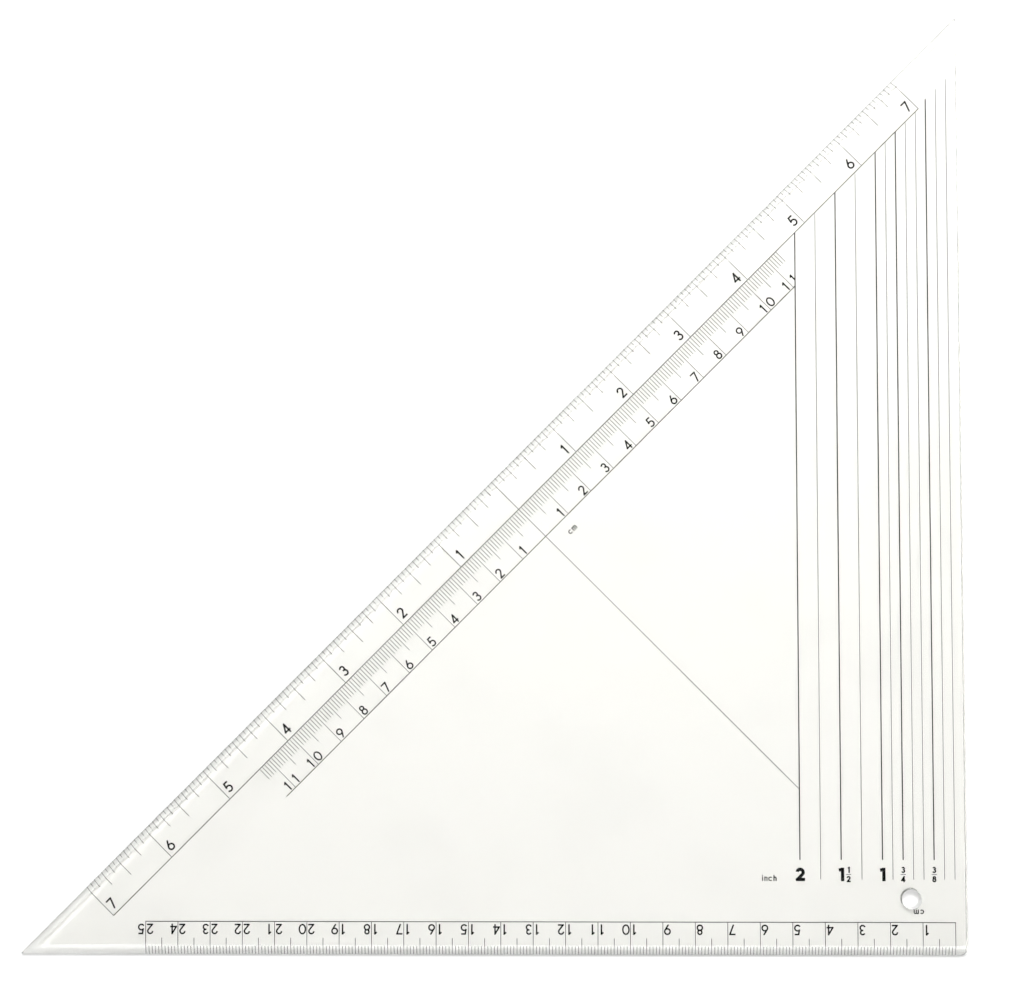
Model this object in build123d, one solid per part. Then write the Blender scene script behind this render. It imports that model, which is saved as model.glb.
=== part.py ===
from build123d import *
import os
from fractions import Fraction
from math import sqrt

# Clear 45 degree drafting triangle, printed on its underside. Sizes are in millimetres.
# The origin is the middle of the long edge, on the plane that the triangle lies on.
# X runs along the base edge towards the square corner, Y along the upright edge, and Z is up.

# Plate
leg_length = 292.1
plate_thickness = 3.0
square_corner_radius = 1.8
tip_radius = 0.3
edge_land = 1.0
base_bevel_width = 3.5
long_bevel_width = 2.0
hole_diameter = 6.0
hole_from_upright_edge = 17.0
hole_above_base_line = 7.5
cut_overrun = 1.0

# Units of the scales
centimetre = 10.0
centimetres_per_inch = 2.54
millimetres_per_centimetre = 10
sixteenths_per_inch = 16

# Print in general
ink_film = 0.03
bare_margin = 0.15
scale_line_width = 0.22

# Base scale, read from the square corner, with its numerals turned to face the base edge
base_line_from_edge = 10.0
base_half_tick_length = 5.0
base_millimetre_tick_length = 3.0
base_tick_width = 0.19
base_digit_height = 3.25
base_digit_stroke = 0.46
base_digit_gap = 0.6
base_digit_clearance = 0.12
base_end_clearance = 3.0

# Inch scale of the long edge, read both ways from the middle
inch_line_from_edge = 12.15
half_inch_tick_length = 7.0
quarter_tick_length = 5.0
eighth_tick_length = 3.0
sixteenth_tick_length = 2.15
inch_tick_width = 0.17
inch_digit_height = 3.5
inch_digit_stroke = 0.5
inch_digit_gap = 1.2
inch_digit_clearance = 0.87

# Centimetre scale of the long edge, hung from the inch scale's line
guide_clearance = 3.0
millimetres_past_last_number = 4
long_half_tick_length = 6.85
long_millimetre_tick_length = 4.3
long_tick_width = 0.15
long_digit_height = 3.2
long_digit_stroke = 0.44
long_digit_gap = 0.3
long_digit_headroom = 4.0
long_digit_clearance = 0.46
centre_line_width = 0.17

# Guide lines parallel to the upright edge, by their distance from it in inches
heavy_guides = ["2", "1 1/2", "1", "3/4", "3/8"]
fine_guides = ["1 3/4", "1 1/4", "7/8", "5/8", "1/2", "1/4", "1/8"]
heavy_guide_width = 0.33
fine_guide_width = 0.15
heavy_guide_above_label = 2.4
fine_guide_above_label_foot = 0.5
open_guide_extra_length = 1.0

# Labels under the heavy guide lines
label_above_hole = 2.1
label_digit_height = 4.1
label_digit_stroke = 1.0
fraction_digit_height = 1.9
fraction_digit_stroke = 0.43
fraction_bar_length = 1.6
fraction_bar_width = 0.16
fraction_bar_gap = 0.38
fraction_after_digit = 0.55

# Unit marks
unit_letter_height = 1.35
unit_letter_stroke = 0.3
unit_letter_gap = 0.45
base_unit_beside_hole = 2.5
base_unit_below_hole = 0.55
long_unit_from_centre = 7.5
long_unit_below_line = 5.0
guide_unit_left_of_guide = 9.5

# Skeletons of the numerals as shares of the skeleton's height, centred on x = 0.
# A line is (start, end, square cap at start, square cap at end); an arc is (centre, radius, from, sweep)
# in degrees; an oval is (centre, x radius, y radius).
line_shares = {
    "1": [((0.12, 0), (0.12, 1), True, True), ((0.12, 1), (-0.1, 0.8), True, False)],
    "bold 1": [((0.12, 0), (0.12, 1), True, True), ((0.12, 1), (-0.25, 0.93), False, False)],
    "2": [((0.213, 0.564), (-0.228, 0), False, True), ((-0.228, 0), (0.27, 0), True, True)],
    "bold 2": [((0.26, 0.54), (-0.25, 0), False, True), ((-0.25, 0), (0.33, 0), True, True)],
    "3": [((-0.02, 0.54), (-0.09, 0.54), False, False)],
    "4": [
        ((0.14, 0), (0.14, 1), True, True),
        ((-0.32, 0.24), (0.28, 0.24), True, True),
        ((0.14, 1), (-0.32, 0.24), True, True),
    ],
    "5": [((-0.14, 1), (0.22, 1), True, True), ((-0.14, 1), (-0.22, 0.52), True, True)],
    "6": [((-0.25, 0.46), (0.08, 1), False, True)],
    "7": [((-0.27, 1), (0.27, 1), True, True), ((0.27, 1), (-0.1, 0), True, True)],
    "9": [((0.25, 0.54), (-0.08, 0), False, True)],
    "h": [((-0.31, 0), (-0.31, 1.5), True, True), ((0.31, 0), (0.31, 0.69), True, False)],
    "i": [((0, 0), (0, 1), True, True), ((0, 1.45), (0, 1.5), True, True)],
    "m": [
        ((-0.6, 0), (-0.6, 1), True, True),
        ((0, 0), (0, 0.7), True, False),
        ((0.6, 0), (0.6, 0.7), True, False),
    ],
    "n": [((-0.31, 0), (-0.31, 1), True, True), ((0.31, 0), (0.31, 0.69), True, False)],
}
arc_shares = {
    "2": [((0, 0.73), 0.27, 180, -218)],
    "bold 2": [((0.01, 0.7), 0.3, 170, -203)],
    "3": [((-0.02, 0.77), 0.23, 160, -250), ((-0.02, 0.27), 0.27, 90, -250)],
    "5": [((-0.02, 0.3), 0.3, 132, -282)],
    "c": [((0, 0.5), 0.5, 45, 270)],
    "h": [((0, 0.69), 0.31, 180, -180)],
    "m": [((-0.3, 0.7), 0.3, 180, -180), ((0.3, 0.7), 0.3, 180, -180)],
    "n": [((0, 0.69), 0.31, 180, -180)],
}
oval_shares = {
    "0": [((0, 0.5), 0.34, 0.5)],
    "6": [((0, 0.3), 0.3, 0.3)],
    "8": [((0, 0.28), 0.28, 0.28), ((0, 0.78), 0.22, 0.22)],
    "9": [((0, 0.7), 0.3, 0.3)],
}
widest_digit_share = 0.68

# Worked out from the sizes above
side_x = leg_length / 2
base_y = -leg_length / 2
plate_top = ink_film + plate_thickness
bevel_depth = plate_thickness - edge_land
millimetre = centimetre / millimetres_per_centimetre
inch = centimetre * centimetres_per_inch
sixteenth = inch / sixteenths_per_inch
base_zero_x = side_x - inch * Fraction(fine_guides[-1])
base_line_y = base_y + base_line_from_edge
hole_x = side_x - hole_from_upright_edge
hole_y = base_line_y + hole_above_base_line
label_y = hole_y + hole_diameter / 2 + label_above_hole
two_inch_guide_x = side_x - inch * Fraction(heavy_guides[0])
two_inch_guide_left = two_inch_guide_x - heavy_guide_width / 2

# Depths inside the long edge
inch_line_outer = inch_line_from_edge - scale_line_width / 2
inch_line_inner = inch_line_from_edge + scale_line_width / 2
long_tick_end = inch_line_from_edge + long_millimetre_tick_length
long_digit_top = long_tick_end + long_digit_headroom
centimetre_line_outer = long_digit_top + long_digit_height + long_digit_gap
centimetre_line_inner = centimetre_line_outer + scale_line_width

# How far each scale runs before it would meet the next thing on the plate
base_scale_end_x = -side_x + base_line_from_edge + inch_line_inner * sqrt(2) + base_end_clearance
base_centimetres = int((base_zero_x - base_scale_end_x) / centimetre)
long_inches = int((side_x * sqrt(2) - inch_line_inner) / inch)
inch_line_reach = long_inches * inch + inch_tick_width / 2
long_scale_reach = two_inch_guide_left * sqrt(2) - long_tick_end - guide_clearance
last_number_reach = long_scale_reach - millimetres_past_last_number * millimetre
long_centimetres = int(last_number_reach / centimetre)
long_millimetres = long_centimetres * millimetres_per_centimetre + millimetres_past_last_number

# The long edge's own frame: X along the edge towards the upper tip, Y outwards, so inside is minus Y
long_edge = Location((0, 0, 0), (0, 0, 45))


def box_mark(x_low, x_high, y_low, y_high):
    """A straight stroke of ink between two corners."""
    return Solid.make_box(x_high - x_low, y_high - y_low, ink_film).moved(Location((x_low, y_low, 0)))


def slanted_mark(points):
    """A stroke of ink with slanted ends, given by its corners."""
    return extrude(make_face(Polyline(*points, close=True)), ink_film).solid()


def line_face(start, end, width, start_cap, end_cap):
    """A straight pen stroke, lengthened by half its width at each end that has a square cap."""
    start, end = Vector(*start), Vector(*end)
    along = (end - start).normalized()
    across = Vector(-along.Y, along.X) * (width / 2)
    start = start - along * (width / 2 * start_cap)
    end = end + along * (width / 2 * end_cap)
    return make_face(Polyline(start + across, start - across, end - across, end + across, close=True))


def arc_face(centre, radius, begin, sweep, width):
    """A round pen stroke with butt ends."""
    outer = CenterArc(centre, radius + width / 2, begin, sweep)
    inner = CenterArc(centre, radius - width / 2, begin, sweep)
    ends = [Line(outer @ 0, inner @ 0), Line(outer @ 1, inner @ 1)]
    return make_face([edge.edge() for edge in (outer, inner, *ends)])


def oval_face(centre, x_radius, y_radius, width):
    """A closed round pen stroke."""
    half = width / 2
    ring = Ellipse(x_radius + half, y_radius + half) - Ellipse(x_radius - half, y_radius - half)
    return Pos(*centre) * ring


def glyph(symbol, height, stroke, clipped=True):
    """The solids of one numeral or letter, standing on y = 0 and centred on x = 0."""
    scale = height - stroke

    def at(point):
        return (point[0] * scale, point[1] * scale + stroke / 2)

    faces = []
    for start, end, start_cap, end_cap in line_shares.get(symbol, []):
        faces.append(line_face(at(start), at(end), stroke, start_cap, end_cap))
    for centre, radius, begin, sweep in arc_shares.get(symbol, []):
        faces.append(arc_face(at(centre), radius * scale, begin, sweep, stroke))
    for centre, x_radius, y_radius in oval_shares.get(symbol, []):
        faces.append(oval_face(at(centre), x_radius * scale, y_radius * scale, stroke))
    shape = Sketch() + faces
    if clipped:
        shape = shape & Pos(0, height / 2) * Rectangle(height + stroke, height)
    return extrude(shape, ink_film).solids()


def digit_set(height, stroke):
    """Each digit's solids, made once."""
    return {symbol: glyph(symbol, height, stroke) for symbol in "0123456789"}


def digit_offset(height, stroke, tick_width, clearance):
    """From the middle of a tick to the middle of a digit beside it."""
    digit_width = widest_digit_share * (height - stroke) + stroke
    return tick_width / 2 + clearance + digit_width / 2


def placed(solids, x, y, turn=0):
    """Copies of solids at a place in the plan, turned about the place."""
    return [solid.moved(Location((x, y, 0), (0, 0, turn))) for solid in solids]


def on_long_edge(solids):
    """Solids drawn in the long edge's own frame, put on the plate."""
    return [solid.moved(long_edge) for solid in solids]


def bevel_cutter(width):
    """What a bevel takes off the top of an edge along X, with the plate on its +Y side."""
    slope = bevel_depth / width
    low = plate_top - bevel_depth - cut_overrun * slope
    high = plate_top + cut_overrun * slope
    profile = Polyline((-cut_overrun, low), (width + cut_overrun, high), (-cut_overrun, high), close=True)
    return extrude(Plane.YZ * make_face(profile), leg_length, both=True)


def make_plate():
    """The clear triangle with its two bevels and its hang hole."""
    corners = [(side_x, base_y), (side_x, side_x), (-side_x, base_y)]
    outline = make_face(Polyline(*corners, close=True))
    for corner, radius in zip(corners, [square_corner_radius, tip_radius, tip_radius]):
        outline = fillet(outline.vertices().sort_by_distance(corner)[0], radius)
    plate = extrude(Pos(0, 0, ink_film) * outline, plate_thickness)
    plate -= Pos(0, base_y, 0) * bevel_cutter(base_bevel_width)
    plate -= long_edge * Rot(0, 0, 180) * bevel_cutter(long_bevel_width)
    drill = Cylinder(hole_diameter / 2, plate_top + 2 * cut_overrun)
    plate -= Pos(hole_x, hole_y, plate_top / 2) * drill
    return [plate.solid()]


def base_tick(step, length):
    """One tick of the base scale, so many millimetre steps from its zero."""
    x = base_zero_x - step * millimetre
    low = base_y + bare_margin
    return box_mark(x - base_tick_width / 2, x + base_tick_width / 2, low, base_y + length)


def make_base_scale():
    """The centimetre scale along the base edge."""
    last = base_centimetres * millimetres_per_centimetre
    half = millimetres_per_centimetre // 2
    centimetres = range(0, last + 1, millimetres_per_centimetre)
    halves = range(half, last, millimetres_per_centimetre)
    millimetres = [step for step in range(last) if step % half]
    left = base_zero_x - last * millimetre - base_tick_width / 2
    right = base_zero_x + base_tick_width / 2
    full_length = base_line_from_edge - scale_line_width / 2
    line_low = base_line_y - scale_line_width / 2
    digits = digit_set(base_digit_height, base_digit_stroke)
    offset = digit_offset(base_digit_height, base_digit_stroke, base_tick_width, base_digit_clearance)
    digit_y = line_low - base_digit_gap
    numerals = []
    for number in range(1, base_centimetres + 1):
        x = base_zero_x - number * centimetre
        for symbol, way in zip(str(number), (1, -1)):
            numerals += placed(digits[symbol], x + way * offset, digit_y, 180)
    return {
        "base_scale_line": [box_mark(left, right, line_low, line_low + scale_line_width)],
        "base_centimetre_ticks": [base_tick(step, full_length) for step in centimetres],
        "base_half_centimetre_ticks": [base_tick(step, base_half_tick_length) for step in halves],
        "base_millimetre_ticks": [base_tick(step, base_millimetre_tick_length) for step in millimetres],
        "base_numerals": numerals,
    }


def long_ticks(places, width, outer, inner):
    """Ticks square to the long edge, from one depth inside it to another."""
    return on_long_edge([box_mark(u - width / 2, u + width / 2, -inner, -outer) for u in places])


def both_ways(steps, pitch):
    """Places at so many steps on either side of the middle of the long edge."""
    return [side * step * pitch for step in steps for side in (-1, 1)]


def long_edge_numerals(last, pitch, digits, offset, y):
    """Numbers both ways from the middle: one digit on the tick's inner side, or two about the tick."""
    numerals = []
    for number in range(1, last + 1):
        for side in (-1, 1):
            symbols = str(number)
            first = -side if len(symbols) == 1 else -1
            for symbol, way in zip(symbols, (first, 1)):
                numerals += placed(digits[symbol], side * number * pitch + way * offset, y)
    return on_long_edge(numerals)


def make_inch_scale():
    """The inch scale along the long edge."""
    last = long_inches * sixteenths_per_inch
    half = sixteenths_per_inch // 2
    quarter = half // 2
    eighth = quarter // 2
    inches = range(sixteenths_per_inch, last + 1, sixteenths_per_inch)
    halves = range(half, last, sixteenths_per_inch)
    quarters = range(quarter, last, half)
    eighths = range(eighth, last, quarter)
    sixteenths = range(1, last, eighth)
    line = box_mark(-inch_line_reach, inch_line_reach, -inch_line_inner, -inch_line_outer)
    digits = digit_set(inch_digit_height, inch_digit_stroke)
    offset = digit_offset(inch_digit_height, inch_digit_stroke, inch_tick_width, inch_digit_clearance)
    digit_y = inch_digit_gap - inch_line_outer

    def ticks(steps, length):
        return long_ticks(both_ways(steps, sixteenth), inch_tick_width, bare_margin, length)

    return {
        "inch_scale_line": on_long_edge([line]),
        "inch_ticks": ticks(inches, inch_line_outer),
        "half_inch_ticks": ticks(halves, half_inch_tick_length),
        "quarter_inch_ticks": ticks(quarters, quarter_tick_length),
        "eighth_inch_ticks": ticks(eighths, eighth_tick_length),
        "sixteenth_inch_ticks": ticks(sixteenths, sixteenth_tick_length),
        "inch_numerals": long_edge_numerals(long_inches, inch, digits, offset, digit_y),
    }


def meets_two_inch_guide(inside):
    """Where a line at a depth inside the long edge meets the two inch guide line, along that edge."""
    return two_inch_guide_left * sqrt(2) - inside


def make_long_numerals():
    """Numerals of the long edge's centimetre scale, which stop at the two inch guide line."""
    digits = digit_set(long_digit_height, long_digit_stroke)
    offset = digit_offset(long_digit_height, long_digit_stroke, long_tick_width, long_digit_clearance)
    digit_y = long_digit_gap - centimetre_line_outer
    numerals = long_edge_numerals(long_centimetres, centimetre, digits, offset, digit_y)
    beyond = Solid.make_box(leg_length, 2 * leg_length, ink_film)
    beyond = beyond.moved(Location((two_inch_guide_left, -leg_length, 0)))
    crossing = [numeral for numeral in numerals if numeral.bounding_box().max.X > two_inch_guide_left]
    whole = [numeral for numeral in numerals if numeral not in crossing]
    return whole + [piece for numeral in crossing for piece in (numeral - beyond).solids()]


def make_long_centimetre_scale():
    """The centimetre scale that hangs from the inch scale's line."""
    half = millimetres_per_centimetre // 2
    centimetres = range(millimetres_per_centimetre, long_millimetres, millimetres_per_centimetre)
    halves = range(half, long_millimetres, millimetres_per_centimetre)
    millimetres = [step for step in range(1, long_millimetres + 1) if step % half]
    left = -long_millimetres * millimetre - long_tick_width / 2
    line = slanted_mark(
        [
            (left, -centimetre_line_inner),
            (meets_two_inch_guide(centimetre_line_inner), -centimetre_line_inner),
            (meets_two_inch_guide(centimetre_line_outer), -centimetre_line_outer),
            (left, -centimetre_line_outer),
        ]
    )

    def ticks(steps, inner):
        return long_ticks(both_ways(steps, millimetre), long_tick_width, inch_line_inner, inner)

    return {
        "centimetre_scale_line": on_long_edge([line]),
        "long_centimetre_ticks": ticks(centimetres, centimetre_line_outer),
        "long_half_centimetre_ticks": ticks(halves, inch_line_from_edge + long_half_tick_length),
        "long_millimetre_ticks": ticks(millimetres, long_tick_end),
        "long_centimetre_numerals": make_long_numerals(),
    }


def make_centre_line():
    """The line square to the middle of the long edge, in stretches between the lines that it crosses."""
    half = centre_line_width / 2
    end_left = meets_two_inch_guide(-half)
    end_right = meets_two_inch_guide(half)
    inner = slanted_mark(
        [
            (-half, -centimetre_line_inner),
            (-half, -end_left),
            (half, -end_right),
            (half, -centimetre_line_inner),
        ]
    )
    outer = box_mark(-half, half, -inch_line_outer, -bare_margin)
    middle = box_mark(-half, half, -centimetre_line_outer, -inch_line_inner)
    return on_long_edge([outer, middle, inner])


def guide_x(inches):
    """Where the guide line with a printed whole number and fraction lies."""
    return side_x - inch * float(sum(Fraction(word) for word in inches.split()))


def guide_name(inches):
    """A guide line's printed distance, as words of a node's name."""
    return inches.replace(" ", "_").replace("/", "_") + "_inch"


def guide_line(x, width, low):
    """A line parallel to the upright edge, up to the inch scale's line or a little past where it ends."""
    left, right = x - width / 2, x + width / 2
    beyond_inch_line = left * sqrt(2) - inch_line_inner > inch_line_reach
    drop = inch_line_inner * sqrt(2) - (open_guide_extra_length if beyond_inch_line else 0)
    return [slanted_mark([(left, low), (right, low), (right, right - drop), (left, left - drop)])]


def make_guide_lines():
    """The heavy and the fine guide lines, each in its own node."""
    nodes = {}
    heavy_low = label_y + label_digit_height + heavy_guide_above_label
    fine_low = label_y + fine_guide_above_label_foot
    for inches in heavy_guides:
        nodes["guide_line_" + guide_name(inches)] = guide_line(guide_x(inches), heavy_guide_width, heavy_low)
    for inches in fine_guides:
        nodes["guide_line_" + guide_name(inches)] = guide_line(guide_x(inches), fine_guide_width, fine_low)
    return nodes


def fraction(numerator, denominator, x):
    """A small fraction stacked about a bar, level with the middle of the labels."""
    middle_y = label_y + label_digit_height / 2
    half_bar = fraction_bar_width / 2
    over_y = middle_y + half_bar + fraction_bar_gap
    over = placed(glyph(numerator, fraction_digit_height, fraction_digit_stroke), x, over_y)
    under_y = middle_y - half_bar - fraction_bar_gap - fraction_digit_height
    under = placed(glyph(denominator, fraction_digit_height, fraction_digit_stroke), x, under_y)
    half_length = fraction_bar_length / 2
    bar = box_mark(x - half_length, x + half_length, middle_y - half_bar, middle_y + half_bar)
    return over + [bar] + under


def make_guide_labels():
    """The numbers under the heavy guide lines."""
    nodes = {}
    for inches in heavy_guides:
        x = guide_x(inches)
        solids = []
        for word in inches.split():
            if "/" not in word:
                solids += placed(glyph("bold " + word, label_digit_height, label_digit_stroke), x, label_y)
                digit_right = max(solid.bounding_box().max.X for solid in solids)
                x = digit_right + fraction_after_digit + fraction_bar_length / 2
            else:
                solids += fraction(*word.split("/"), x)
        nodes["guide_label_" + guide_name(inches)] = solids
    return nodes


def unit_mark(letters, x, y, turn=0):
    """A short word of small letters, centred on a place."""
    solids = []
    right = -unit_letter_gap
    for letter in letters:
        shapes = glyph(letter, unit_letter_height, unit_letter_stroke, clipped=False)
        half_width = max(shape.bounding_box().max.X for shape in shapes)
        solids += placed(shapes, right + unit_letter_gap + half_width, 0)
        right += unit_letter_gap + 2 * half_width
    return placed(placed(solids, -right / 2, 0), x, y, turn)


def make_unit_marks():
    """Plain unit marks beside the scales."""
    guide_mark_x = two_inch_guide_x - guide_unit_left_of_guide
    base_mark_y = hole_y - hole_diameter / 2 - base_unit_below_hole
    long_mark_y = -centimetre_line_inner - long_unit_below_line
    return {
        "guide_unit_mark": unit_mark("inch", guide_mark_x, label_y),
        "base_unit_mark": unit_mark("cm", hole_x + base_unit_beside_hole, base_mark_y, 180),
        "long_edge_unit_mark": on_long_edge(unit_mark("cm", long_unit_from_centre, long_mark_y)),
    }


nodes = {"clear_plate": make_plate(), "centre_line": make_centre_line()}
nodes.update(make_base_scale())
nodes.update(make_inch_scale())
nodes.update(make_long_centimetre_scale())
nodes.update(make_guide_lines())
nodes.update(make_guide_labels())
nodes.update(make_unit_marks())

os.makedirs("parts", exist_ok=True)
for name, solids in nodes.items():
    shape = solids[0] if len(solids) == 1 else Compound(solids)
    export_step(shape, "parts/" + name + ".step", write_pcurves=False)
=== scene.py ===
import math

import bmesh
import bpy
from bpy.props import FloatProperty, FloatVectorProperty, IntProperty, PointerProperty
from mathutils import Matrix, Vector


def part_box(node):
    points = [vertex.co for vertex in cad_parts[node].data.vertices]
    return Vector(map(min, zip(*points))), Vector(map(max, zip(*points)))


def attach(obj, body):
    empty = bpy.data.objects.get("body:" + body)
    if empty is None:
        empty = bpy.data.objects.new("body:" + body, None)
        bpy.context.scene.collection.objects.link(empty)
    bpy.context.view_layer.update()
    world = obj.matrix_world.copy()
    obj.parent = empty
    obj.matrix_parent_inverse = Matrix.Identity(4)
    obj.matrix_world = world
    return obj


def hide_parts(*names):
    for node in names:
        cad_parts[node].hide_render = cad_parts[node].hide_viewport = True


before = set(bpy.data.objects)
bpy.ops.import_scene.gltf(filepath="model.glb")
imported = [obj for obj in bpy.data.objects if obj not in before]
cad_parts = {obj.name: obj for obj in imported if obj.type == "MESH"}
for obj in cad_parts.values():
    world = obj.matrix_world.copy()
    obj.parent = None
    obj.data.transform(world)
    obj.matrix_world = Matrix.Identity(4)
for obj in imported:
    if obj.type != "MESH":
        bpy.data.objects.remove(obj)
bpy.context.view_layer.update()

bl_info = {
    "name": "Clear drafting triangle",
    "version": (1, 0, 0),
    "blender": (4, 5, 0),
    "location": "View3D > Sidebar > Triangle",
    "description": "Dresses a clear 45 degree drafting triangle: plate, printed scales and stage",
    "category": "Object",
}

PLATE_LOW, PLATE_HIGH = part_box("clear_plate")
MM = 0.001
INCH = 0.0254
BODY = "root"

# Lines, numerals and unit marks of the print keep the shape that the frame gives them.
PRINTED_NODES = [name for name in sorted(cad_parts)
                 if name != "clear_plate" and not name.endswith("_ticks")]

# Marks that a row of ticks leaves out: none, only the zero, or every multiple of a number.
NOTHING = 0
ONLY_ZERO = 1000

# Base scale: first and last mark, marks left out, pitch and reach from the edge in millimetres.
BASE_ROWS = {
    "base_centimetre_ticks": ((-25, 0), NOTHING, 10.0, 9.89),
    "base_half_centimetre_ticks": ((-49, -1), 2, 5.0, 5.0),
    "base_millimetre_ticks": ((-249, -1), 5, 1.0, 3.0),
}
# Inch scale: last mark each way, marks left out, marks per inch and reach from the edge in millimetres.
INCH_ROWS = {
    "inch_ticks": (7, ONLY_ZERO, 1, 12.04),
    "half_inch_ticks": (13, 2, 2, 7.0),
    "quarter_inch_ticks": (27, 2, 4, 5.0),
    "eighth_inch_ticks": (55, 2, 8, 3.0),
    "sixteenth_inch_ticks": (111, 2, 16, 2.15),
}
# Long edge's centimetres: last mark each way, marks left out, pitch and reach in millimetres.
LONG_ROWS = {
    "long_centimetre_ticks": (11, ONLY_ZERO, 10.0, 23.95),
    "long_half_centimetre_ticks": (21, 2, 5.0, 19.0),
    "long_millimetre_ticks": (114, 5, 1.0, 16.45),
}
LONG_EDGE_TURN = math.radians(225)
ROUNDING_POINTS = 3
WELD_DISTANCE = 1e-7

# How upright a face's normal is, from where a finish starts to where it is full,
# and how far a normal leans before its face belongs to one side.
POLISHED_TILT = (0.90, 0.97)
SAWN_TILT = (0.25, 0.40)
SIDE_TILT = 0.3
SMOOTH_ANGLE = math.radians(22)

# Marks on the acrylic. Counts are per metre; bands are of the noise from none to full.
DRILLED_REACH = 1.1
TOOL_LINES_ALONG, TOOL_LINES_ACROSS = 45.0, 2600.0
SMUDGES = 26.0
SMUDGE_BAND = (0.48, 0.72)
SCRATCH_COSINE, SCRATCH_SINE = 0.9, 0.44
SCRATCHES_ALONG, SCRATCHES_ACROSS = 9.0, 900.0
SCRATCH_BAND = (0.73, 0.78)
FACE_ROUGHNESS = 0.015
SMUDGE_ROUGHNESS, SCRATCH_ROUGHNESS = 0.02, 0.06
BEVEL_ROUGHNESS, BEVEL_LINE_ROUGHNESS = 0.07, 0.08
SAWN_ROUGHNESS, SAWN_LINE_ROUGHNESS, DRILLED_ROUGHNESS = 0.15, 0.1, 0.25
SMUDGE_TINT = 0.985
SAWN_FLATTENING = 0.8
TOOL_LINE_STRENGTH, TOOL_LINE_DEPTH = 0.2, 0.02 * MM
ACRYLIC_IOR = 1.49
ACRYLIC_SHINE = (0.12, 0.12, 0.12)

# Ink: grains and patches per metre, their shares, and the roughness that they give.
INK_GRAINS, INK_PATCHES = 2600.0, 160.0
GRAIN_SHARE, PATCH_SHARE = 0.6, 0.4
THIN_INK_BAND = (0.5, 0.72)
INK_ROUGHNESS, GRAIN_ROUGHNESS, PATCH_ROUGHNESS = 0.42, 0.2, 0.08
GRAIN_STRENGTH, GRAIN_DEPTH = 0.3, 0.01 * MM
INK_IOR, INK_SHINE = 1.5, 0.15

FLOOR_CLOUDS = 3.0
FLOOR_SHADE = 0.99
FLOOR_ROUGHNESS, FLOOR_SHINE = 0.9, 0.1

# The room's light: how straight above or in front a direction is, from none to full.
OVERHEAD_BAND = (0.72, 0.88)
FRONT_BAND = (0.80, 0.97)
KEY_AIM = (0.05, 0.05, 0.0)
SENSOR_WIDTH = 36.0


class PlateSizes(bpy.types.PropertyGroup):
    """Sizes of the clear plate"""

    half_leg: FloatProperty(
        name="Half leg", description="From the middle of the long edge to the base and upright edges",
        default=PLATE_HIGH.x, unit="LENGTH")
    underside: FloatProperty(
        name="Underside",
        description="Height of the underside, a third of the ink film down from the CAD's",
        default=PLATE_LOW.z - 0.01 * MM, unit="LENGTH")
    top: FloatProperty(
        name="Top", description="Height of the top face", default=PLATE_HIGH.z, unit="LENGTH")
    square_corner_radius: FloatProperty(
        name="Square corner radius", description="Rounding of the square corner",
        default=1.8 * MM, unit="LENGTH")
    tip_radius: FloatProperty(
        name="Tip radius", description="Rounding of the two sharp tips", default=0.3 * MM, unit="LENGTH")
    edge_land: FloatProperty(
        name="Edge land", description="Upright strip left under a bevel",
        default=1.0 * MM, unit="LENGTH")
    base_bevel: FloatProperty(
        name="Base bevel", description="Width of the bevel on the base edge",
        default=3.5 * MM, unit="LENGTH")
    long_bevel: FloatProperty(
        name="Long bevel", description="Width of the bevel on the long edge",
        default=2.0 * MM, unit="LENGTH")
    edge_break: FloatProperty(
        name="Edge break", description="How far the sharp edges are taken off",
        default=0.1 * MM, unit="LENGTH")
    hole_radius: FloatProperty(
        name="Hole radius", description="Radius of the hang hole", default=3.0 * MM, unit="LENGTH")
    hole_x: FloatProperty(
        name="Hole across", description="Middle of the hang hole, across",
        default=129.05 * MM, unit="LENGTH")
    hole_y: FloatProperty(
        name="Hole up", description="Middle of the hang hole, up", default=-128.55 * MM, unit="LENGTH")
    corner_steps: IntProperty(
        name="Corner steps", description="Flats on each rounded corner", default=16, min=4)
    hole_steps: IntProperty(
        name="Hole steps", description="Flats round the hole, in fours", default=96, min=16)


class PrintSizes(bpy.types.PropertyGroup):
    """Sizes of the printed tick marks"""

    film: FloatProperty(
        name="Ink film", description="Thickness of the ink", default=PLATE_LOW.z, unit="LENGTH")
    margin: FloatProperty(
        name="Bare margin", description="Bare strip between the ticks and the edge",
        default=0.15 * MM, unit="LENGTH")
    base_width: FloatProperty(
        name="Base tick width", description="Width of the base scale's ticks",
        default=0.19 * MM, unit="LENGTH")
    inch_width: FloatProperty(
        name="Inch tick width", description="Width of the inch scale's ticks",
        default=0.17 * MM, unit="LENGTH")
    long_width: FloatProperty(
        name="Long tick width", description="Width of the ticks of the long edge's centimetres",
        default=0.15 * MM, unit="LENGTH")
    long_foot: FloatProperty(
        name="Long tick foot", description="From the long edge to where its centimetre ticks start",
        default=12.26 * MM, unit="LENGTH")
    tick_rounding: FloatProperty(
        name="Tick rounding", description="Rounding of a tick's corners, as a share of its width",
        default=0.42, min=0.05, max=0.49, subtype="FACTOR")
    unevenness: FloatProperty(
        name="Unevenness", description="How much the width of the ticks varies",
        default=0.06, subtype="FACTOR")
    base_zero: FloatProperty(
        name="Base zero", description="Zero of the base scale, across",
        default=142.875 * MM, unit="LENGTH")
    seed: IntProperty(name="Seed", description="Start of the small variations", default=7)


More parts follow.
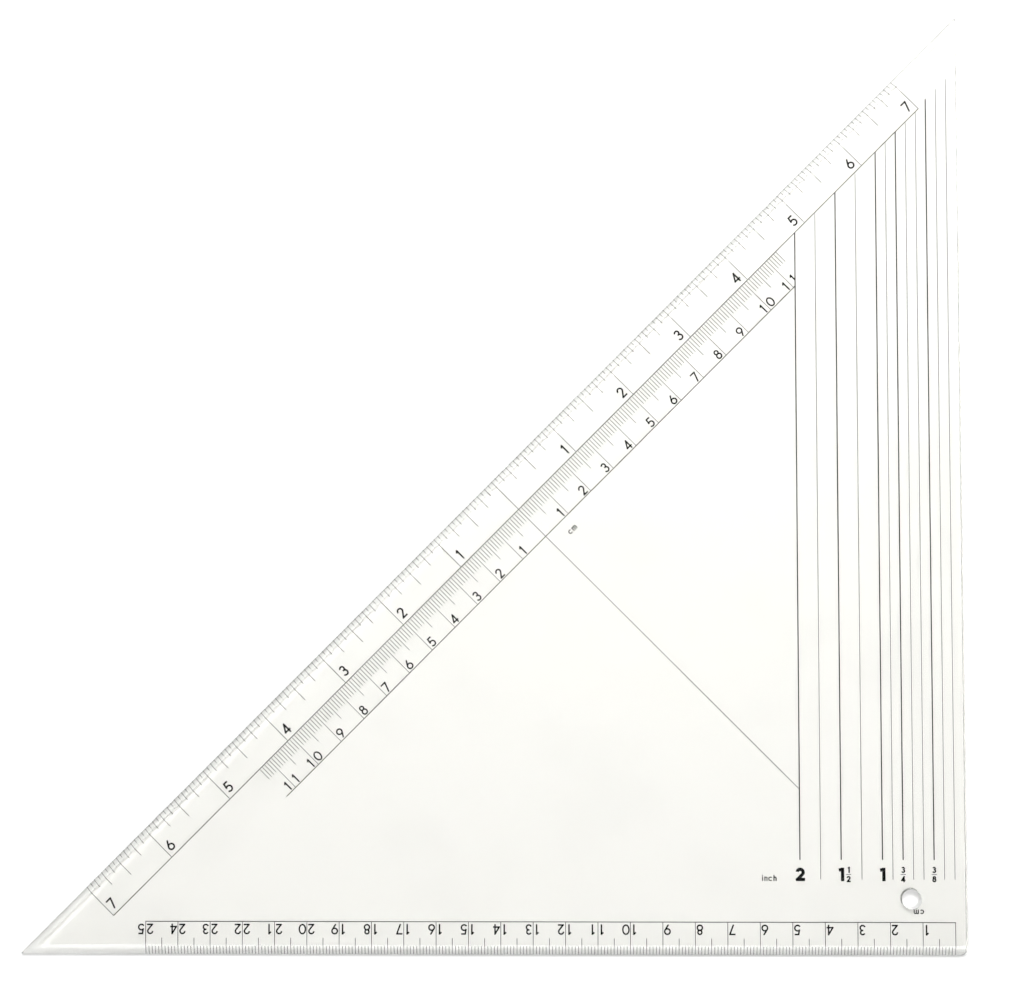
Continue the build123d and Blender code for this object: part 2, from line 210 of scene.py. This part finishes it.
class FinishColours(bpy.types.PropertyGroup):
    """Colours of the acrylic, the ink and the floor"""

    acrylic: FloatVectorProperty(
        name="Acrylic", description="Tint of the clear acrylic", size=3, subtype="COLOR",
        default=(0.930, 0.923, 0.905), min=0, max=1)
    base_milled: FloatVectorProperty(
        name="Base bevel", description="Tint of the milled base bevel and the sawn edges",
        size=3, subtype="COLOR", default=(1.0, 1.0, 0.99), min=0, max=1)
    # The long bevel's tint is a little darker and greener than the base bevel's. The green cast stands
    # for the acrylic's own edge colour; the darkening is painted shade for the greyer look that the
    # light gives this bevel.
    long_milled_painted_shade: FloatVectorProperty(
        name="Long bevel", description="Tint of the milled bevel of the long edge",
        size=3, subtype="COLOR", default=(0.985, 0.995, 0.975), min=0, max=1)
    milled_haze: FloatProperty(
        name="Milled haze", description="How much the fine tool marks whiten the bevels", default=0.15,
        min=0, max=1, subtype="FACTOR")
    drilled_haze: FloatProperty(
        name="Drilled haze", description="How much the drill's marks whiten the wall of the hole",
        default=0.6, min=0, max=1, subtype="FACTOR")
    depth: FloatVectorProperty(
        name="Depth colour", description="Colour of light that has gone far through the acrylic", size=3,
        subtype="COLOR", default=(0.62, 0.86, 0.72), min=0, max=1)
    depth_density: FloatProperty(
        name="Depth density", description="How fast the depth colour builds up, per metre", default=6.0)
    ink: FloatVectorProperty(
        name="Ink", description="Black printing ink", size=3, subtype="COLOR",
        default=(0.004, 0.004, 0.0045), min=0, max=1)
    thin_ink: FloatVectorProperty(
        name="Thin ink", description="Ink where the film is thin", size=3, subtype="COLOR",
        default=(0.018, 0.018, 0.019), min=0, max=1)
    floor: FloatVectorProperty(
        name="Floor", description="Pale floor", size=3, subtype="COLOR",
        default=(0.90, 0.90, 0.895), min=0, max=1)


class StageSizes(bpy.types.PropertyGroup):
    """Camera, light and floor"""

    camera_place: FloatVectorProperty(
        name="Camera place", description="Where the camera stands", size=3, subtype="TRANSLATION",
        default=(11.62 * MM, -21.3 * MM, 444.7 * MM))
    camera_turn: FloatVectorProperty(
        name="Camera turn", description="How the camera is turned", size=3, subtype="EULER",
        default=(math.radians(2.038), math.radians(0.662), math.radians(-0.077)))
    camera_lens: FloatProperty(name="Lens", description="Focal length in millimetres", default=50.0)
    floor_drop: FloatProperty(
        name="Floor drop", description="Gap between the print and the floor",
        default=0.05 * MM, unit="LENGTH")
    floor_half: FloatProperty(
        name="Half floor", description="Half the width of the floor", default=6.0, unit="LENGTH")
    sky_strength: FloatProperty(
        name="Sky", description="Strength of the light from all round", default=0.42)
    overhead_strength: FloatProperty(
        name="Overhead", description="Strength of the light from straight above", default=1.25)
    front_strength: FloatProperty(
        name="Front", description="Strength of the low light from the front", default=3.6)
    key_power: FloatProperty(
        name="Key light", description="Power of the soft light above the long edge",
        default=4.3, unit="POWER")
    key_place: FloatVectorProperty(
        name="Key place", description="Where the soft light hangs", size=3, subtype="TRANSLATION",
        default=(0.04, 0.37, 0.56))
    key_size: FloatProperty(
        name="Key size", description="Width of the soft light", default=0.3, unit="LENGTH")


class TriangleSettings(bpy.types.PropertyGroup):
    """All settings of the drafting triangle"""

    plate: PointerProperty(type=PlateSizes, name="Plate", description="Sizes of the clear plate")
    ticks: PointerProperty(type=PrintSizes, name="Print", description="Sizes of the printed ticks")
    colours: PointerProperty(type=FinishColours, name="Colours", description="Colours of the finishes")
    stage: PointerProperty(type=StageSizes, name="Stage", description="Camera, light and floor")


class Wire:
    """One output of a node. Sums of wires and numbers add Math nodes to the same tree."""

    def __init__(self, tree, socket):
        self.tree = tree
        self.socket = socket

    def math(self, operation, *values):
        sockets = dict(enumerate(values))
        return node(self.tree, "ShaderNodeMath", {"operation": operation}, sockets)

    def __add__(self, other):
        return self.math("ADD", self, other)

    def __radd__(self, other):
        return self.math("ADD", other, self)

    def __sub__(self, other):
        return self.math("SUBTRACT", self, other)

    def __rsub__(self, other):
        return self.math("SUBTRACT", other, self)

    def __mul__(self, other):
        return self.math("MULTIPLY", self, other)

    def __rmul__(self, other):
        return self.math("MULTIPLY", other, self)

    def __truediv__(self, other):
        return self.math("DIVIDE", self, other)

    def __rtruediv__(self, other):
        return self.math("DIVIDE", other, self)

    def __mod__(self, other):
        return self.math("FLOORED_MODULO", self, other)

    def __gt__(self, other):
        return self.math("GREATER_THAN", self, other)

    def __lt__(self, other):
        return self.math("LESS_THAN", self, other)

    def __abs__(self):
        return self.math("ABSOLUTE", self)

    def out(self, key):
        """Another output of the same node."""
        return Wire(self.tree, self.socket.node.outputs[key])


def node(tree, kind, settings=None, sockets=None, output=0):
    """Adds a node of any type: its settings first, then the values or wires of its sockets."""
    made = tree.nodes.new(kind)
    for name, value in (settings or {}).items():
        setattr(made, name, value)
    for key, value in (sockets or {}).items():
        target = made.inputs[key]
        if isinstance(value, Wire):
            tree.links.new(value.socket, target)
        else:
            target.default_value = value
    return Wire(tree, made.outputs[output]) if len(made.outputs) else made


def new_material(name):
    material = bpy.data.materials.new(name)
    material.use_nodes = True
    material.node_tree.nodes.clear()
    return material, material.node_tree


def rgba(colour):
    return (*colour, 1.0)


def mix_colour(tree, factor, low, high):
    settings = {"data_type": "RGBA", "blend_type": "MIX"}
    return node(tree, "ShaderNodeMix", settings, {0: factor, 6: low, 7: high}, output=2)


def smooth_step(tree, value, band):
    settings = {"interpolation_type": "SMOOTHSTEP"}
    low, high = band
    return node(tree, "ShaderNodeMapRange", settings, {
        "Value": value, "From Min": low, "From Max": high})


def acrylic_finish(settings):
    """Clear cast acrylic: polished faces, milled bevels, sawn edges, a drilled hole, faint marks."""
    colours, sizes = settings.colours, settings.plate
    material, tree = new_material("clear_acrylic_finish")
    place = node(tree, "ShaderNodeTexCoord", {}, {}, output="Object")
    facing = node(tree, "ShaderNodeSeparateXYZ", {}, {"Vector": place.out("Normal")}, output="Z")
    tilt = abs(facing)
    polished = smooth_step(tree, tilt, POLISHED_TILT)
    sawn = 1 - smooth_step(tree, tilt, SAWN_TILT)
    bevel = (1 - polished) * (1 - sawn)
    long_side = (0 - facing.out("X")) > SIDE_TILT
    upright_side = facing.out("X") > SIDE_TILT

    # Tool lines follow each edge: along the base, the long edge or the upright edge.
    x = node(tree, "ShaderNodeSeparateXYZ", {}, {"Vector": place}, output="X")
    y = x.out("Y")
    hole_x, hole_y = x - sizes.hole_x, y - sizes.hole_y
    drilled = (hole_x * hole_x + hole_y * hole_y) < (DRILLED_REACH * sizes.hole_radius) ** 2
    base_side = 1 - long_side - upright_side
    diagonal = math.sqrt(0.5)
    along = x * base_side + (x + y) * (long_side * diagonal) + y * upright_side
    across = y * base_side + (x - y) * (long_side * diagonal) + x.out("Z") * upright_side
    stroke = node(tree, "ShaderNodeCombineXYZ", {}, {
        "X": along * TOOL_LINES_ALONG, "Y": across * TOOL_LINES_ACROSS})
    flat_noise = {"noise_dimensions": "2D"}
    lines = node(tree, "ShaderNodeTexNoise", flat_noise, {
        "Vector": stroke, "Scale": 1.0, "Detail": 1.0})
    lines = lines * (1 - polished)

    smudges = node(tree, "ShaderNodeTexNoise", flat_noise, {
        "Vector": place, "Scale": SMUDGES, "Detail": 2.0})
    wear = smooth_step(tree, smudges, SMUDGE_BAND)
    streak = node(tree, "ShaderNodeCombineXYZ", {}, {
        "X": (x * SCRATCH_COSINE + y * SCRATCH_SINE) * SCRATCHES_ALONG,
        "Y": (y * SCRATCH_COSINE - x * SCRATCH_SINE) * SCRATCHES_ACROSS})
    hair = node(tree, "ShaderNodeTexNoise", flat_noise, {
        "Vector": streak, "Scale": 1.0, "Detail": 0.0})
    hair = smooth_step(tree, hair, SCRATCH_BAND)
    roughness = (
        FACE_ROUGHNESS
        + polished * (wear * SMUDGE_ROUGHNESS + hair * SCRATCH_ROUGHNESS)
        + bevel * (BEVEL_ROUGHNESS + lines * BEVEL_LINE_ROUGHNESS)
        + sawn * (SAWN_ROUGHNESS + lines * SAWN_LINE_ROUGHNESS + drilled * DRILLED_ROUGHNESS))

    clear = rgba(colours.acrylic)
    fainter = rgba([c * SMUDGE_TINT for c in colours.acrylic])
    face_colour = mix_colour(tree, wear, clear, fainter)
    # The long bevel takes its slightly darker tint here, which is partly painted shade; the base bevel
    # and the sawn edges stay near white.
    milled_and_painted_shade = mix_colour(tree, long_side, rgba(colours.base_milled), rgba(colours.long_milled_painted_shade))
    colour = mix_colour(tree, polished, milled_and_painted_shade, face_colour)

    bump = node(tree, "ShaderNodeBump", {}, {
        "Height": lines * (1 - sawn * SAWN_FLATTENING),
        "Strength": TOOL_LINE_STRENGTH, "Distance": TOOL_LINE_DEPTH})
    shader = node(tree, "ShaderNodeBsdfPrincipled", {}, {
        "Base Color": colour, "Roughness": roughness, "Normal": bump,
        "Transmission Weight": 1.0, "IOR": ACRYLIC_IOR, "Specular Tint": rgba(ACRYLIC_SHINE)})
    haze = node(tree, "ShaderNodeBsdfPrincipled", {}, {
        "Base Color": rgba(colours.base_milled), "Roughness": 1.0, "Specular IOR Level": 0.0})
    whitened = bevel * colours.milled_haze + sawn * drilled * colours.drilled_haze
    surface = node(tree, "ShaderNodeMixShader", {}, {0: whitened, 1: shader, 2: haze})
    depth = node(tree, "ShaderNodeVolumeAbsorption", {}, {
        "Color": rgba(colours.depth), "Density": colours.depth_density})
    node(tree, "ShaderNodeOutputMaterial", {}, {"Surface": surface, "Volume": depth})
    return material


def ink_finish(settings):
    """Screen printed black ink: slightly uneven film, soft gloss."""
    colours = settings.colours
    material, tree = new_material("black_ink_finish")
    place = node(tree, "ShaderNodeTexCoord", {}, {}, output="Object")
    grain = node(tree, "ShaderNodeTexNoise", {}, {
        "Vector": place, "Scale": INK_GRAINS, "Detail": 3.0})
    patch = node(tree, "ShaderNodeTexNoise", {}, {
        "Vector": place, "Scale": INK_PATCHES, "Detail": 2.0})
    thin = smooth_step(tree, grain * GRAIN_SHARE + patch * PATCH_SHARE, THIN_INK_BAND)
    colour = mix_colour(tree, thin, rgba(colours.ink), rgba(colours.thin_ink))
    roughness = INK_ROUGHNESS + grain * GRAIN_ROUGHNESS + patch * PATCH_ROUGHNESS
    bump = node(tree, "ShaderNodeBump", {}, {
        "Height": grain, "Strength": GRAIN_STRENGTH, "Distance": GRAIN_DEPTH})
    shader = node(tree, "ShaderNodeBsdfPrincipled", {}, {
        "Base Color": colour, "Roughness": roughness, "Normal": bump,
        "IOR": INK_IOR, "Specular IOR Level": INK_SHINE})
    node(tree, "ShaderNodeOutputMaterial", {}, {"Surface": shader})
    return material


def floor_finish(settings):
    """Plain pale floor with a trace of unevenness."""
    colours = settings.colours
    material, tree = new_material("pale_floor_finish")
    place = node(tree, "ShaderNodeTexCoord", {}, {}, output="Object")
    cloud = node(tree, "ShaderNodeTexNoise", {}, {
        "Vector": place, "Scale": FLOOR_CLOUDS, "Detail": 2.0})
    darker = rgba([c * FLOOR_SHADE for c in colours.floor])
    colour = mix_colour(tree, cloud, darker, rgba(colours.floor))
    shader = node(tree, "ShaderNodeBsdfPrincipled", {}, {
        "Base Color": colour, "Roughness": FLOOR_ROUGHNESS, "Specular IOR Level": FLOOR_SHINE})
    node(tree, "ShaderNodeOutputMaterial", {}, {"Surface": shader})
    return material


def finish_named(name, make, settings):
    """A finish is made once and then shared."""
    return bpy.data.materials.get(name) or make(settings)


def show(name, mesh):
    made = bpy.data.objects.new(name, mesh)
    bpy.context.scene.collection.objects.link(made)
    return made


def plain_mesh(made, name):
    """Turns an object's evaluated shape into a plain mesh and drops its modifiers."""
    bpy.context.view_layer.update()
    evaluated = made.evaluated_get(bpy.context.evaluated_depsgraph_get())
    mesh = bpy.data.meshes.new_from_object(evaluated)
    mesh.name = name
    made.modifiers.clear()
    made.data = mesh
    return made


def arc(centre, radius, first, last, steps):
    """Points on an arc, angles in degrees."""
    points = []
    for step in range(steps + 1):
        angle = math.radians(first + (last - first) * step / steps)
        points.append((centre[0] + radius * math.cos(angle), centre[1] + radius * math.sin(angle)))
    return points


def outline_loop(sizes, inset):
    """The plate's outline, anticlockwise from the foot under the hole to the left tip."""
    half = sizes.half_leg / MM
    square = sizes.square_corner_radius / MM
    tip = sizes.tip_radius / MM
    steps = sizes.corner_steps
    reach = tip * (1 + math.sqrt(2))
    foot = [(sizes.hole_x / MM, inset - half)]
    corner = arc((half - square, square - half), square - inset, -90, 0, steps)
    side = [(half - inset, sizes.hole_y / MM)]
    top_tip = arc((half - tip, half - reach), tip - inset, 0, 135, steps)
    left_tip = arc((reach - half, tip - half), tip - inset, 135, 270, steps)
    return foot + corner + side + top_tip + left_tip


def hole_loop(sizes, grow):
    """The hole, clockwise from its right side."""
    middle = (sizes.hole_x / MM, sizes.hole_y / MM)
    return arc(middle, sizes.hole_radius / MM + grow, 0, -360, sizes.hole_steps)[:-1]


def skin(shape, low, high):
    """Quads between two closed loops of equal count."""
    for i in range(len(low)):
        j = (i + 1) % len(low)
        shape.faces.new((low[i], low[j], high[j], high[i]))


def cap(shape, rim, hole, side_at, foot_at):
    """Two faces round the hole, joined at its right side and at its foot."""
    shape.faces.new(rim[:side_at + 1] + hole[:foot_at + 1])
    shape.faces.new(rim[side_at:] + rim[:1] + hole[foot_at:] + hole[:1])


def shave(shape, point, normal):
    """Takes off everything on the outer side of a plane and closes the cut."""
    everything = shape.verts[:] + shape.edges[:] + shape.faces[:]
    bmesh.ops.bisect_plane(
        shape, geom=everything, dist=1e-6, plane_co=point, plane_no=normal, clear_outer=True)
    rim = [edge for edge in shape.edges if edge.is_boundary]
    if not rim:
        raise RuntimeError("a bevel plane misses the plate")
    bmesh.ops.holes_fill(shape, edges=rim, sides=0)


def shave_bevel(shape, sizes, edge_point, inward, width):
    """One bevel along an edge, with its two new edges broken."""
    land = (sizes.underside + sizes.edge_land) / MM
    top = sizes.top / MM
    rise = top - land
    slope = Vector((-rise * inward.x, -rise * inward.y, width)).normalized()
    foot = edge_point + Vector((0, 0, land))
    shave(shape, foot, slope)
    small = 0.25 * sizes.edge_break / MM
    crest = foot + inward * width + Vector((0, 0, rise))
    for corner, other in ((foot, -inward), (crest, Vector((0, 0, 1)))):
        between = (slope + other).normalized()
        shave(shape, corner - between * small, between)


def plate_mesh(sizes):
    """The plate in millimetres: rim, hole and faces, then the two bevels, then to metres."""
    shape = bmesh.new()
    broken = sizes.edge_break / MM
    low = sizes.underside / MM
    high = sizes.top / MM
    levels = ((low, broken), (low + broken, 0.0), (high - broken, 0.0), (high, broken))
    rims = [[shape.verts.new((x, y, z)) for x, y in outline_loop(sizes, inset)] for z, inset in levels]
    holes = [[shape.verts.new((x, y, z)) for x, y in hole_loop(sizes, inset)] for z, inset in levels]
    for below, above in zip(rims, rims[1:]):
        skin(shape, below, above)
    for below, above in zip(holes, holes[1:]):
        skin(shape, below, above)
    side_at = sizes.corner_steps + 2
    foot_at = sizes.hole_steps // 4
    cap(shape, rims[0], holes[0], side_at, foot_at)
    cap(shape, rims[-1], holes[-1], side_at, foot_at)
    bmesh.ops.recalc_face_normals(shape, faces=shape.faces)
    half = sizes.half_leg / MM
    shave_bevel(shape, sizes, Vector((0, -half, 0)), Vector((0, 1, 0)), sizes.base_bevel / MM)
    diagonal = Vector((1, -1, 0)).normalized()
    shave_bevel(shape, sizes, Vector((0, 0, 0)), diagonal, sizes.long_bevel / MM)
    bmesh.ops.remove_doubles(shape, verts=shape.verts, dist=1e-5)
    bmesh.ops.recalc_face_normals(shape, faces=shape.faces)
    bmesh.ops.transform(shape, matrix=Matrix.Scale(MM, 4), verts=shape.verts)
    mesh = bpy.data.meshes.new("plate_shape")
    shape.to_mesh(mesh)
    shape.free()
    mesh.shade_smooth()
    mesh.set_sharp_from_angle(angle=SMOOTH_ANGLE)
    return mesh


class DRAFTING_OT_plate(bpy.types.Operator):
    """Makes the clear bevelled plate with its hang hole"""

    bl_idname = "drafting.plate"
    bl_label = "Clear plate"

    def execute(self, context):
        settings = context.scene.drafting_triangle
        plate = show("bevelled_plate", plate_mesh(settings.plate))
        weigh = plate.modifiers.new("even_shading", "WEIGHTED_NORMAL")
        weigh.keep_sharp = True
        plain_mesh(plate, "bevelled_plate")
        plate.data.materials.clear()
        plate.data.materials.append(finish_named("clear_acrylic_finish", acrylic_finish, settings))
        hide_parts("clear_plate")
        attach(plate, BODY)
        return {"FINISHED"}


TICK_INPUTS = (
    ("First number", "NodeSocketInt", 0),
    ("Marks", "NodeSocketInt", 1),
    ("Left out", "NodeSocketInt", 1000),
    ("Pitch", "NodeSocketFloat", 1.0),
    ("Foot", "NodeSocketFloat", 0.0),
    ("Head", "NodeSocketFloat", 1.0),
    ("Width", "NodeSocketFloat", 0.1),
    ("Rounding", "NodeSocketFloat", 0.4),
    ("Film", "NodeSocketFloat", 0.03),
    ("Unevenness", "NodeSocketFloat", 0.0),
    ("Seed", "NodeSocketInt", 0),
    ("Zero", "NodeSocketVector", (0.0, 0.0, 0.0)),
    ("Turn", "NodeSocketFloat", 0.0),
    ("Ink", "NodeSocketMaterial", None),
)


def tick_tree():
    """A row of printed ticks: numbered marks at a pitch, some left out, each a closed rounded slab."""
    tree = bpy.data.node_groups.get("printed_tick_row")
    if tree:
        return tree
    tree = bpy.data.node_groups.new("printed_tick_row", "GeometryNodeTree")
    tree.interface.new_socket("Geometry", in_out="OUTPUT", socket_type="NodeSocketGeometry")
    for name, kind, default in TICK_INPUTS:
        socket = tree.interface.new_socket(name, in_out="INPUT", socket_type=kind)
        if default is not None:
            socket.default_value = default
    given = node(tree, "NodeGroupInput")

    # The slab of one tick, lying along Y from its foot to its head.
    length = given.out("Head") - given.out("Foot")
    width = given.out("Width")
    sheet = node(tree, "GeometryNodeCurvePrimitiveQuadrilateral", {}, {"Width": width, "Height": length})
    rounded = node(tree, "GeometryNodeFilletCurve", {"mode": "POLY"}, {
        "Curve": sheet, "Radius": width * given.out("Rounding"), "Count": ROUNDING_POINTS})
    face = node(tree, "GeometryNodeFillCurve", {"mode": "NGONS"}, {"Curve": rounded})
    raised = node(tree, "GeometryNodeExtrudeMesh", {"mode": "FACES"}, {
        "Mesh": face, "Offset Scale": given.out("Film"), "Individual": False})
    under = node(tree, "GeometryNodeFlipFaces", {}, {"Mesh": face})
    both = node(tree, "GeometryNodeJoinGeometry")
    tree.links.new(raised.socket, both.socket.node.inputs[0])
    tree.links.new(under.socket, both.socket.node.inputs[0])
    slab = node(tree, "GeometryNodeMergeByDistance", {}, {
        "Geometry": both, "Distance": WELD_DISTANCE})
    middle = node(tree, "ShaderNodeCombineXYZ", {}, {
        "Y": (given.out("Head") + given.out("Foot")) * 0.5})
    tick = node(tree, "GeometryNodeSetPosition", {}, {"Geometry": slab, "Offset": middle})

    # The numbered marks along X.
    first = given.out("First number")
    start = node(tree, "ShaderNodeCombineXYZ", {}, {"X": first * given.out("Pitch")})
    stride = node(tree, "ShaderNodeCombineXYZ", {}, {"X": given.out("Pitch")})
    row = node(tree, "GeometryNodeMeshLine", {"mode": "OFFSET"}, {
        "Count": given.out("Marks"), "Start Location": start, "Offset": stride})
    number = node(tree, "GeometryNodeInputIndex") + first
    dropped = ((number % given.out("Left out")) < 0.5) * (given.out("Left out") > 0.5)
    kept = node(tree, "GeometryNodeDeleteGeometry", {"domain": "POINT"}, {
        "Geometry": row, "Selection": dropped})
    vary = node(tree, "FunctionNodeRandomValue", {"data_type": "FLOAT"}, {
        2: 1 - given.out("Unevenness"), 3: 1.0, "Seed": given.out("Seed")}, output=1)
    scale = node(tree, "ShaderNodeCombineXYZ", {}, {"X": vary, "Y": 1.0, "Z": 1.0})
    placed = node(tree, "GeometryNodeInstanceOnPoints", {}, {
        "Points": kept, "Instance": tick, "Scale": scale})
    real = node(tree, "GeometryNodeRealizeInstances", {}, {"Geometry": placed})
    turn = node(tree, "ShaderNodeCombineXYZ", {}, {"Z": given.out("Turn")})
    moved = node(tree, "GeometryNodeTransform", {}, {
        "Geometry": real, "Translation": given.out("Zero"), "Rotation": turn})
    inked = node(tree, "GeometryNodeSetMaterial", {}, {
        "Geometry": moved, "Material": given.out("Ink")})
    node(tree, "NodeGroupOutput", {}, {"Geometry": inked})
    return tree


def print_ticks(context, cad_node, numbers, left_out, pitch, foot, head, width, zero, turn):
    """One row of ticks in place of a CAD node, from the first to the last of the given numbers."""
    settings = context.scene.drafting_triangle
    sizes = settings.ticks
    first, last = numbers
    values = {
        "First number": first, "Marks": last - first + 1, "Left out": left_out, "Pitch": pitch,
        "Foot": foot, "Head": head, "Width": width, "Rounding": sizes.tick_rounding, "Film": sizes.film,
        "Unevenness": sizes.unevenness, "Seed": sizes.seed, "Zero": zero, "Turn": turn,
        "Ink": finish_named("black_ink_finish", ink_finish, settings),
    }
    name = "printed_" + cad_node
    ticks = show(name, bpy.data.meshes.new(name))
    modifier = ticks.modifiers.new("tick_row", "NODES")
    modifier.node_group = tick_tree()
    for item in modifier.node_group.interface.items_tree:
        if item.item_type == "SOCKET" and item.in_out == "INPUT":
            modifier[item.identifier] = values[item.name]
    plain_mesh(ticks, name)
    if not ticks.data.polygons:
        raise RuntimeError(name + " came out empty")
    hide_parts(cad_node)
    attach(ticks, BODY)


class DRAFTING_OT_base_ticks(bpy.types.Operator):
    """Prints the three rows of ticks of the base scale"""

    bl_idname = "drafting.base_ticks"
    bl_label = "Base ticks"

    def execute(self, context):
        sizes = context.scene.drafting_triangle.ticks
        zero = (sizes.base_zero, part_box("clear_plate")[0].y, 0.0)
        for cad_node, (numbers, left_out, pitch, head) in BASE_ROWS.items():
            print_ticks(context, cad_node, numbers, left_out, pitch * MM, sizes.margin, head * MM,
                        sizes.base_width, zero, 0.0)
        return {"FINISHED"}


class DRAFTING_OT_inch_ticks(bpy.types.Operator):
    """Prints the five rows of ticks of the inch scale on the long edge"""

    bl_idname = "drafting.inch_ticks"
    bl_label = "Inch ticks"

    def execute(self, context):
        sizes = context.scene.drafting_triangle.ticks
        for cad_node, (last, left_out, parts, head) in INCH_ROWS.items():
            print_ticks(context, cad_node, (-last, last), left_out, INCH / parts, sizes.margin,
                        head * MM, sizes.inch_width, (0.0, 0.0, 0.0), LONG_EDGE_TURN)
        return {"FINISHED"}


class DRAFTING_OT_long_ticks(bpy.types.Operator):
    """Prints the three rows of ticks of the centimetre scale on the long edge"""

    bl_idname = "drafting.long_ticks"
    bl_label = "Long edge centimetre ticks"

    def execute(self, context):
        sizes = context.scene.drafting_triangle.ticks
        for cad_node, (last, left_out, pitch, head) in LONG_ROWS.items():
            print_ticks(context, cad_node, (-last, last), left_out, pitch * MM, sizes.long_foot,
                        head * MM, sizes.long_width, (0.0, 0.0, 0.0), LONG_EDGE_TURN)
        return {"FINISHED"}


class DRAFTING_OT_print(bpy.types.Operator):
    """Gives the printed lines, numerals and unit marks their ink"""

    bl_idname = "drafting.print"
    bl_label = "Lines and numerals"

    def execute(self, context):
        ink = finish_named("black_ink_finish", ink_finish, context.scene.drafting_triangle)
        for name in PRINTED_NODES:
            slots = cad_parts[name].material_slots
            if not slots:
                raise RuntimeError(name + " has no place for its ink")
            for slot in slots:
                slot.material = ink
        return {"FINISHED"}


def soft_light(name, place, aim, size, power):
    lamp = bpy.data.lights.new(name, "AREA")
    lamp.shape = "SQUARE"
    lamp.size = size
    lamp.energy = power
    made = bpy.data.objects.new(name, lamp)
    made.location = place
    made.rotation_euler = (Vector(aim) - Vector(place)).to_track_quat("-Z", "Y").to_euler()
    bpy.context.scene.collection.objects.link(made)


class DRAFTING_OT_stage(bpy.types.Operator):
    """Sets the pale floor, the soft light and the camera"""

    bl_idname = "drafting.stage"
    bl_label = "Stage"

    def execute(self, context):
        scene = context.scene
        settings = scene.drafting_triangle
        sizes = settings.stage

        half = sizes.floor_half
        mesh = bpy.data.meshes.new("pale_floor")
        level = -sizes.floor_drop
        corners = [
            (-half, -half, level), (half, -half, level), (half, half, level), (-half, half, level)]
        mesh.from_pydata(corners, [], [(0, 1, 2, 3)])
        floor = show("pale_floor", mesh)
        mesh.materials.append(finish_named("pale_floor_finish", floor_finish, settings))

        world = bpy.data.worlds.new("soft_room")
        world.use_nodes = True
        world.node_tree.nodes.clear()
        tree = world.node_tree
        towards = node(tree, "ShaderNodeTexCoord", {}, {}, output="Generated")
        overhead = node(tree, "ShaderNodeVectorMath", {"operation": "DOT_PRODUCT"}, {
            0: towards, 1: (0.0, 0.0, 1.0)}, output="Value")
        ahead = node(tree, "ShaderNodeVectorMath", {"operation": "DOT_PRODUCT"}, {
            0: towards, 1: (0.0, -1.0, 0.0)}, output="Value")
        above = smooth_step(tree, overhead, OVERHEAD_BAND)
        front = smooth_step(tree, ahead, FRONT_BAND)
        glow = (sizes.sky_strength * (1 - above) + sizes.overhead_strength * above
                + sizes.front_strength * front)
        sky = node(tree, "ShaderNodeBackground", {}, {"Color": (1.0, 1.0, 1.0, 1.0), "Strength": glow})
        node(tree, "ShaderNodeOutputWorld", {}, {"Surface": sky})
        scene.world = world
        soft_light("key_light", sizes.key_place, KEY_AIM, sizes.key_size, sizes.key_power)

        lens = bpy.data.cameras.new("photo_camera")
        lens.lens = sizes.camera_lens
        lens.sensor_width = SENSOR_WIDTH
        camera = bpy.data.objects.new("photo_camera", lens)
        camera.location = sizes.camera_place
        camera.rotation_euler = sizes.camera_turn
        scene.collection.objects.link(camera)
        scene.camera = camera
        scene.view_settings.view_transform = "Standard"
        scene.cycles.blur_glossy = 0.0
        return {"FINISHED"}


OPERATORS = (
    DRAFTING_OT_plate,
    DRAFTING_OT_base_ticks,
    DRAFTING_OT_inch_ticks,
    DRAFTING_OT_long_ticks,
    DRAFTING_OT_print,
    DRAFTING_OT_stage,
)


class DRAFTING_PT_panel(bpy.types.Panel):
    """Lists the steps that make the drafting triangle"""

    bl_idname = "DRAFTING_PT_panel"
    bl_label = "Drafting triangle"
    bl_space_type = "VIEW_3D"
    bl_region_type = "UI"
    bl_category = "Triangle"

    def draw(self, context):
        for operator in OPERATORS:
            self.layout.operator(operator.bl_idname)
        settings = context.scene.drafting_triangle
        for group in (settings.plate, settings.ticks, settings.colours, settings.stage):
            box = self.layout.box()
            for name in group.__annotations__:
                box.prop(group, name)


CLASSES = (
    PlateSizes, PrintSizes, FinishColours, StageSizes, TriangleSettings, *OPERATORS, DRAFTING_PT_panel)


def register():
    for made in CLASSES:
        bpy.utils.register_class(made)
    bpy.types.Scene.drafting_triangle = PointerProperty(
        type=TriangleSettings, name="Drafting triangle", description="Settings of the drafting triangle")


def unregister():
    del bpy.types.Scene.drafting_triangle
    for made in reversed(CLASSES):
        bpy.utils.unregister_class(made)


def main():
    register()
    bpy.ops.drafting.plate()
    bpy.ops.drafting.base_ticks()
    bpy.ops.drafting.inch_ticks()
    bpy.ops.drafting.long_ticks()
    bpy.ops.drafting.print()
    bpy.ops.drafting.stage()


if __name__ == "__main__":
    main()
